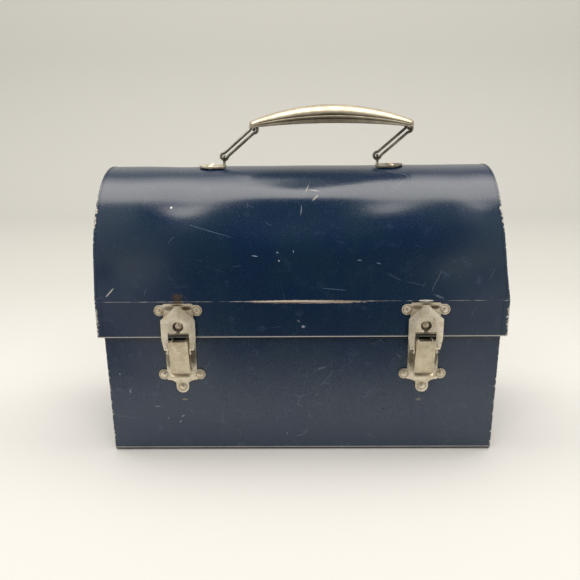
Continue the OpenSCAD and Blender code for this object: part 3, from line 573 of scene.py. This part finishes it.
def lid_side(inset, step, low):
    """(y, z) up the front of the lid, from height low to the crest."""
    run = lid_half_d - inset
    rows = [(-run, z) for z in spread(low, crease_z - 1.2*mm, step)]
    bend = []
    for k in range(5):
        t = k/4
        a = Vector((-run, crease_z - 1.2*mm))
        b = Vector((-run, crease_z))
        c = Vector((-run + 1.2*mm*math.sin(flank), crease_z + 1.2*mm*math.cos(flank)))
        point = a*(1 - t)**2 + b*2*t*(1 - t) + c*t*t
        bend.append((point.x, point.y))
    rows += bend[1:]
    start = Vector(bend[-1])
    end = Vector((-(dome_r - inset)*math.cos(flank), foot_z - inset*math.sin(flank)))
    count = max(1, round((end - start).length/step))
    rows += [tuple(start.lerp(end, k/count)) for k in range(1, count + 1)]
    turns = max(2, round((math.pi/2 - flank)*dome_r/step))
    for k in range(1, turns + 1):
        t = flank + (math.pi/2 - flank)*k/turns
        rows.append((-(dome_r - inset)*math.cos(t), dome_z + (dome_r - inset)*math.sin(t)))
    return rows


front = [(-lid_half_d + 2*hem_r, seam_z + hem_h), (-lid_half_d + 2*hem_r, seam_z + hem_h/2)]
front += arc((-lid_half_d + hem_r, seam_z + hem_r), hem_r, 0, -180, 8)
front += lid_side(0, 1.5*mm, seam_z + hem_r)[1:]
outer = front + [(-y, z) for y, z in front[::-1]][1:]
inside = lid_side(sheet, 3*mm, seam_z + hem_h + 0.1*mm)
inner = inside + [(-y, z) for y, z in inside[::-1]][1:]
section = outer + inner[::-1]
stations = sorted({round(s*x, 6) for s in (-1, 1) for x in
                   spread(0, 0.124, 1.5*mm) + spread(0.124, lid_half_w - 0.5*mm, 0.8*mm)})
lid_enamel = enamel(
    "navy_enamel_lid", [(seam_z + 0.35*mm, 0.45*mm, 0.9), (crease_z, 0.35*mm, 0.35)], [
        (3, -59, 105.2, 43, 1.2, 0.004, "#96887c", 0.95, 0.3),
        (-6, -59, 105.6, 30, 0.5, 0.0, "#c9bdb0", 0.8, 0.3),
        (-12, -59, 104.6, 26, 0.4, 0.0, "#4a3c34", 0.8, 0.4),
        (78, -59, 105.5, 5.2, 0.7, 0, "#c8c4ba", 0.95, 0.3),
        (1, -59, 88.6, 1.2, 1.0, 0, "#8d8f9c", 0.8, 0.3),
        (-2, -59, 92.5, 1.4, 0.5, 0.7, "#7b8494", 0.6, 0.3),
        (-78, -59, 108.5, 5.5, 3.6, 0, "#4a3a1e", 0.75, 1.0),
        (-78, -59, 105.6, 3.4, 1.2, 0, "#5a4420", 0.9, 0.6),
        (-82, -43, 162, 0.9, 0.7, 0, "#c2c2be", 0.9, 0.3),
        (-120.5, -59, 111.5, 0.5, 4.2, 0.75, "#a9a99f", 0.8, 0.3),
        (-29, -58, 134, 2.2, 0.3, 0.15, "#a5adba", 0.85, 0.3),
        (-15, -58, 136, 0.6, 0.5, 0, "#8d97a8", 0.8, 0.3),
        (-14, -58, 131, 0.5, 0.6, 0, "#a5adba", 0.85, 0.3),
        (-5, -58, 136.5, 0.3, 0.9, 0.1, "#8d97a8", 0.8, 0.3),
        (-57, -57, 149, 18, 0.2, 0.27, "#5d6d86", 0.6, 0.3),
        (8, -40, 171, 5, 0.3, 0.1, "#a09a92", 0.7, 0.4),
        (4, -38, 172, 0.4, 3.0, 0.5, "#a09a92", 0.6, 0.4),
        (9, -42, 167, 3, 0.5, -0.7, "#aca69e", 0.6, 0.4),
        (0, -47, 160, 0.4, 3.5, 0.1, "#7f8894", 0.6, 0.4),
        (86, -59, 108, 4.5, 1.0, 0.4, "#63707e", 0.6, 0.9),
        (36, -58, 131, 1.4, 0.4, 0, "#6d7b90", 0.7, 0.3),
        (48, -58, 129, 1.6, 0.3, 0.2, "#6d7b90", 0.7, 0.3),
        (20, -60, 113, 9, 0.25, 0.1, "#5a6a80", 0.6, 0.3),
    ])
lid_skin = loft("lid_skin", [[knocked(x, y, z) for y, z in section] for x in stations],
                closed_across=True)
cap_ends(lid_skin, len(section))
set_edge(lid_skin, lambda p: 9*mm)
place_piece(lid_skin, "lid", ["lid_wrap"], lid_enamel)

# -------------------------------------------------------------- lid ends
# Two end panels whose edges are folded over the ends of the dome in a
# band about 4 mm wide, hammered down and enamelled with the rest.


def lid_end_x(z):
    """The lid's end plane, upright before knocked() leans it in."""
    return lid_half_w


corner = 1.5*mm
bottom = seam_z + 0.1*mm
side_rows = lid_side(0, 3*mm, bottom + corner)
lid_loop = [(-y, z) for y, z in side_rows] + side_rows[::-1][1:]
lid_loop += arc((-lid_half_d + corner, bottom + corner), corner, 180, 270, 5)[1:]
lid_loop += [(y, bottom) for y in spread(-lid_half_d + corner, lid_half_d - corner, 8*mm)][1:]
lid_loop += arc((lid_half_d - corner, bottom + corner), corner, 270, 360, 5)[1:-1]
for side, word in ((-1, "left"), (1, "right")):
    panel = end_cap(f"lid_end_panel_{word}", closed_outline(
        lid_loop, lambda y, z: 0.36 if z < seam_z + 1.2*mm else
        1 - 0.6*smoothly((z - crease_z + 1*mm)/(6*mm))),
        lid_end_x, side, 4.2*mm, 1.2*mm, 0.3, 1.0, lambda away, z: away + 0.4
        - 1.3*math.exp(-((z - 0.158)/0.012)**2) - 1.7*math.exp(-((z - 0.094)/0.012)**2))
    thicken(panel, 0.45*mm, (side, 0, 0))
    for v in panel.data.vertices:
        v.co = knocked(*v.co)
    place_piece(panel, "lid", [f"lid_end_{word}"], lid_enamel)

# ---------------------------------------------------------- rear hinges
# Two five-knuckle hinges of nickelled strip, riveted through the rear
# wall; the bare ends of the pins show at the sides.


def nickel(name, light, dark, grime, rough, marks=(), metal=0.85, grain_depth=1.0):
    """Nickel plate that has gone warm and dull, with brown grime left in the
    low spots and small rubbed patches that still shine. A point attribute
    adds painted shade in grooves, and marks darken patches at given points,
    which stand for painted shade and grime."""
    made, tree = finish_named(name)
    place = add(tree, "TexCoord", {}, {}).outputs["Object"]
    ramp = {"interpolation_type": "SMOOTHSTEP"}
    times, plus = {"operation": "MULTIPLY"}, {"operation": "ADD"}
    cloud, pits = [add(tree, "TexNoise", {}, {
        "Vector": place, "Scale": 1000/size_mm, "Detail": detail, "Roughness": 0.65})
        for size_mm, detail in ((6.5, 4.0), (1.3, 3.0))]
    warm = add(tree, "MapRange", ramp, {"Value": cloud, "From Min": 0.35, "From Max": 0.68})
    colour = add(tree, "MixRGB", {}, {
        "Fac": warm, "Color1": shade(light), "Color2": shade(dark)})

    stain = add(tree, "MapRange", ramp, {"Value": pits, "From Min": 0.56, "From Max": 0.7})
    groove_shade = add(tree, "Attribute", {"attribute_name": "groove_shade"}, {}).outputs["Fac"]
    # Brown grime in the pits, and painted shade from a point attribute that is set in the grip's
    # grooves.
    layers = [(stain, grime, "#4a3d2a"), (groove_shade, 0.7, "#2e2a24")]
    for x, y, z, half_x, half_z, tint, amount in marks:
        reach = add(tree, "Mapping", {"vector_type": "TEXTURE"}, {
            "Vector": place, "Location": (x*mm, y*mm, z*mm),
            "Scale": (half_x*mm, 12*mm, half_z*mm)})
        reach = add(tree, "VectorMath", {"operation": "LENGTH"}, {0: reach}).outputs["Value"]
        reach = add(tree, "Math", plus, {
            0: reach, 1: add(tree, "Math", times, {0: pits, 1: 0.8})})
        reach = add(tree, "MapRange", ramp, {"Value": reach, "From Min": 1.5, "From Max": 0.9})
        layers.append((reach, amount, tint))
    for cover, amount, tint in layers:
        colour = add(tree, "MixRGB", {}, {
            "Fac": add(tree, "Math", times, {0: cover, 1: amount}),
            "Color1": colour, "Color2": shade(tint)})

    skin = add(tree, "Bump", {}, {
        "Strength": 0.2, "Distance": 0.04*mm*grain_depth, "Height": pits})
    sheen = add(tree, "Math", {"operation": "MULTIPLY_ADD"}, {0: cloud, 1: 0.2, 2: rough - 0.1})
    close_material(tree, add(tree, "BsdfPrincipled", {}, {
        "Base Color": colour, "Metallic": metal, "Roughness": sheen, "Normal": skin}))
    return made


def pressed(name, node, edge, body, material, corner=38):
    """A CAD solid with its sheared edges rounded as a press leaves them."""
    shape = bmesh.new()
    shape.from_mesh(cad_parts[node].data)
    bmesh.ops.remove_doubles(shape, verts=shape.verts, dist=0.002*mm)
    bmesh.ops.dissolve_limit(shape, angle_limit=math.radians(1.5), verts=shape.verts,
                             edges=shape.edges)
    shape.normal_update()
    sharp = [e for e in shape.edges if len(e.link_faces) == 2
             and e.calc_face_angle(0) > math.radians(30)]
    if edge:
        bmesh.ops.bevel(shape, geom=sharp, offset=edge*mm, segments=2, profile=0.6,
                        affect="EDGES", clamp_overlap=True)
    bmesh.ops.triangulate(shape, faces=[f for f in shape.faces if len(f.verts) > 4])
    mesh = bpy.data.meshes.new(name)
    shape.to_mesh(mesh)
    shape.free()
    made = bpy.data.objects.new(name, mesh)
    scene.collection.objects.link(made)
    mesh.shade_smooth()
    return place_piece(made, body, [node], material, corner)


plate_nickel = nickel("aged_nickel_plate", "#ece3d0", "#d2c6ad", 0.5, 0.34, metal=0.6)
rivet_steel = nickel("nickelled_rivet", "#efe4d0", "#d2c5ac", 0.4, 0.36)
pin_steel = nickel("dull_pin_steel", "#8f8571", "#6d6453", 0.5, 0.4)
for word in ("left", "right"):
    pressed(f"hinge_body_strip_{word}", f"hinge_leaf_body_{word}", 0.18, "body",
            plate_nickel)
    pressed(f"hinge_lid_strip_{word}", f"hinge_leaf_lid_{word}", 0.18, "lid",
            plate_nickel)
    pressed(f"hinge_wire_{word}", f"hinge_pin_{word}", 0.12, "body", pin_steel)
pressed("hinge_rivet_heads_body", "hinge_rivets_body", 0, "body", rivet_steel)
pressed("hinge_rivet_heads_lid", "hinge_rivets_lid", 0, "lid", rivet_steel)

# --------------------------------------------------------------- latches
# Draw latches stamped from nickelled strip: a keeper plate and stud on
# the lid, and on the body a base plate, a lever and a pointed hasp.
latch_x, rivet_out, keeper_rivet_z, base_rivet_z = 78, 11.7, 99.9, 55.3
# Dark marks on the keeper and base plates are painted shade mixed with brown grime: beside and
# under the hasp, beside the lever, low on the base plate and round each rivet head.
keeper_shade_and_grime_marks, base_shade_and_grime_marks = [], []
for x in (-latch_x, latch_x):
    keeper_shade_and_grime_marks += [(x + 5.5, -60, 101.5, 4.2, 1.6, "#4a3620", 0.9),
                     (x - 5.5, -60, 101.5, 4.2, 1.6, "#5a4630", 0.7),
                     (x, -60, 103.6, 4.5, 0.8, "#3e2e1a", 0.8),
                     (x, -60, 91, 10, 9, "#3a3022", 0.85)]
    base_shade_and_grime_marks += [(x + 8, -57, 68, 2.2, 8, "#3c3222", 0.8),
                   (x - 8, -57, 66, 2.0, 7, "#5a4c36", 0.7),
                   (x, -57, 46.5, 3.6, 3.6, "#5a4c38", 0.65)]
    for across in (-rivet_out, rivet_out):
        keeper_shade_and_grime_marks.append((x + across, -60, keeper_rivet_z, 3.5, 3.5, "#5a4c38", 0.65))
        base_shade_and_grime_marks.append((x + across, -57, base_rivet_z, 3.5, 3.5, "#5a4c38", 0.65))
# These two plates carry that painted shade as well as grime.
keeper_nickel = nickel("keeper_nickel_grime_and_painted_shade", "#ece2cd", "#cdc0a7", 0.5, 0.36, keeper_shade_and_grime_marks, 0.6)
base_nickel = nickel("base_nickel_grime_and_painted_shade", "#efe6d2", "#d3c7ae", 0.5, 0.34, base_shade_and_grime_marks)
lever_nickel = nickel("rubbed_lever_nickel", "#d2c8b1", "#bcb096", 0.3, 0.3)
for word in ("left", "right"):
    pressed(f"keeper_{word}", f"keeper_plate_{word}", 0.22, "lid",
            keeper_nickel)
    pressed(f"latch_foot_{word}", f"latch_base_{word}", 0.22, "body",
            base_nickel)
    pressed(f"lever_grip_{word}", f"lever_{word}", 0.3, f"latch_lever_{word}",
            lever_nickel)
    pressed(f"hasp_strap_{word}", f"hasp_{word}", 0.28, f"latch_hasp_{word}",
            plate_nickel)
    pressed(f"lever_axle_{word}", f"lever_pin_{word}", 0.15, "body", pin_steel)
    pressed(f"hasp_axle_{word}", f"hasp_pin_{word}", 0.15, f"latch_lever_{word}",
            pin_steel)
web_back, web_face = -56.02, -56.78
web = [(10.8, -2.4), (9.5, -3.9), (8.7, -4.1), (8.4, -3.9), (5.7, -4.7), (4.4, -5.7),
       (3.3, -7.6), (2.6, -9.6), (0, -10.4)]
web += [(-x, z) for x, z in web[-2::-1]] + [(-9, 1.5), (9, 1.5)]
for x, word in ((-latch_x, "left"), (latch_x, "right")):
    points = [((x + a)*mm, y*mm, (base_rivet_z + b)*mm)
              for y in (web_face, web_back) for a, b in web]
    count = len(web)
    sides = [(i, (i + 1) % count, count + (i + 1) % count, count + i) for i in range(count)]
    plate = mesh_object(f"latch_foot_web_{word}", points,
                        [tuple(range(count)), tuple(range(2*count - 1, count - 1, -1))] + sides)
    shape = bmesh.new()
    shape.from_mesh(plate.data)
    bmesh.ops.recalc_face_normals(shape, faces=shape.faces)
    bmesh.ops.bevel(shape, geom=[e for e in shape.edges if e.calc_face_angle(0) > 1.2],
                    offset=0.2*mm, segments=2, profile=0.6, affect="EDGES")
    bmesh.ops.triangulate(shape, faces=[f for f in shape.faces if len(f.verts) > 4])
    shape.to_mesh(plate.data)
    shape.free()
    place_piece(plate, "body", [], base_nickel, 38)
pressed("keeper_stud_heads", "keeper_studs", 0.1, "lid", rivet_steel)
pressed("keeper_rivet_heads", "keeper_rivets", 0, "lid", rivet_steel)
pressed("base_rivet_heads", "latch_base_rivets", 0, "body", rivet_steel)

# ---------------------------------------------------------------- handle
# Ears bent from strip and riveted to the dome, each with an eye for a
# closed wire link; the links carry a hollow grip pressed from sheet.
# The ear marks are painted shade: two narrow dark strips at x 51.5 mm either side, and a wide
# dark band on the right ear.
ear_nickel = nickel("worn_ear_nickel_painted_shade", "#e2d9c4", "#b5aa94", 0.5, 0.4, [
    (-51.5, 0, 188.5, 1.6, 4.5, "#3c362e", 0.9), (51.5, 0, 188.5, 1.6, 4.5, "#3c362e", 0.9),
    (62, 0, 183, 12, 2.4, "#4a453d", 0.85)])
link_steel = nickel("dark_link_wire", "#b9b3a8", "#857e74", 0.6, 0.3)
for word in ("left", "right"):
    pressed(f"ear_{word}", f"handle_ear_{word}", 0.2, "lid", ear_nickel)
    pressed(f"link_{word}_wire", f"handle_link_{word}", 0, f"link_{word}",
            link_steel)
    pressed(f"grip_axle_{word}", f"grip_pin_{word}", 0.15, "grip", pin_steel)
pressed("ear_rivet_heads", "ear_rivets", 0.1, "lid", rivet_steel)

grip_low, grip_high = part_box("grip_shell")
grip_mid = (grip_low.x + grip_high.x)/2
grip_half = (grip_high.x - grip_low.x)/2
pivot_low, pivot_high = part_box("grip_pin_left")
grip_z = (pivot_low.z + pivot_high.z)/2
end_deep, more_deep = 11, 11
end_tall, more_tall = 3.8, 7.9
grip_rise, grip_arch = 5, 3.2


def swell(u):
    """How full the grip is at u: 0 at its ends, 1 at its middle."""
    return max(0.0, math.cos(math.pi/2*u))**0.8


def grip_foot(u):
    """Height of the grip's lower edge at u, which arches up in the middle."""
    return grip_z + (grip_rise - end_tall + grip_arch*(1 - u*u))*mm


def grip_section(u, close):
    """Half of the grip's outline at u from -1 to 1: a round top, a groove,
    a bead and a rolled lower edge. close draws the ends in."""
    deep = (end_deep + more_deep*swell(u))/2*mm*close
    tall = (end_tall + more_tall*swell(u))*mm
    rows = [(0.0, 1.0), (0.26, 0.985), (0.5, 0.93), (0.7, 0.83), (0.84, 0.70), (0.92, 0.58),
            (0.955, 0.50), (0.93, 0.455), (0.93, 0.43), (0.985, 0.40), (1.0, 0.35),
            (0.985, 0.30), (0.925, 0.275), (0.92, 0.24), (0.965, 0.20), (0.98, 0.12),
            (0.95, 0.03), (0.88, 0.0), (0.78, 0.04)]
    return [(deep*a, grip_foot(u) + tall*b) for a, b in rows]


grip_rings = []
for u in [math.sin(math.pi/2*k/30) for k in range(-30, 31)]:
    close = math.sqrt(max(0.0, 1 - max(0.0, (abs(u) - 0.955)/0.045)**2))*0.75 + 0.25
    half_rows = grip_section(u, close)
    ring = [(grip_mid + u*grip_half, -y, z) for y, z in half_rows[::-1]]
    ring += [(grip_mid + u*grip_half, y, z) for y, z in half_rows[1:]]
    grip_rings.append(ring)
grip_top = loft("grip_top", grip_rings, closed_across=False)
thicken(grip_top, 0.6*mm, (0, 0, 1))
# Painted shade along the grip's groove and under its bead, stored per point.
groove_shade = grip_top.data.attributes.new("groove_shade", "FLOAT", "POINT")
for v in grip_top.data.vertices:
    u = (v.co.x - grip_mid)/grip_half
    level = (v.co.z - grip_foot(u))/((end_tall + more_tall*swell(u))*mm)
    groove_shade.data[v.index].value = max(math.exp(-((level - 0.47)/0.07)**2),
                                   math.exp(-((level - 0.26)/0.04)**2))
grip_nickel = nickel("polished_grip_nickel", "#d5cab4", "#b8ad98", 0.12, 0.34, grain_depth=0.2)
place_piece(grip_top, "grip", ["grip_shell"], grip_nickel, 50)
pressed("grip_under", "grip_tray", 0.1, "grip", link_steel)

# -------------------------------------------------------------- retainer
# A sprung wire frame, its two brackets and a folded catch, all of bright
# zinc-plated steel, hold a bottle up in the dome.
zinc = nickel("zinc_plated_wire", "#b5b3ab", "#8e8c84", 0.3, 0.35)
pressed("retainer_wire", "retainer_bail", 0, "retainer", zinc)
pressed("retainer_feet", "retainer_brackets", 0.12, "lid", zinc)
pressed("retainer_tongue", "retainer_catch", 0.1, "lid", zinc)
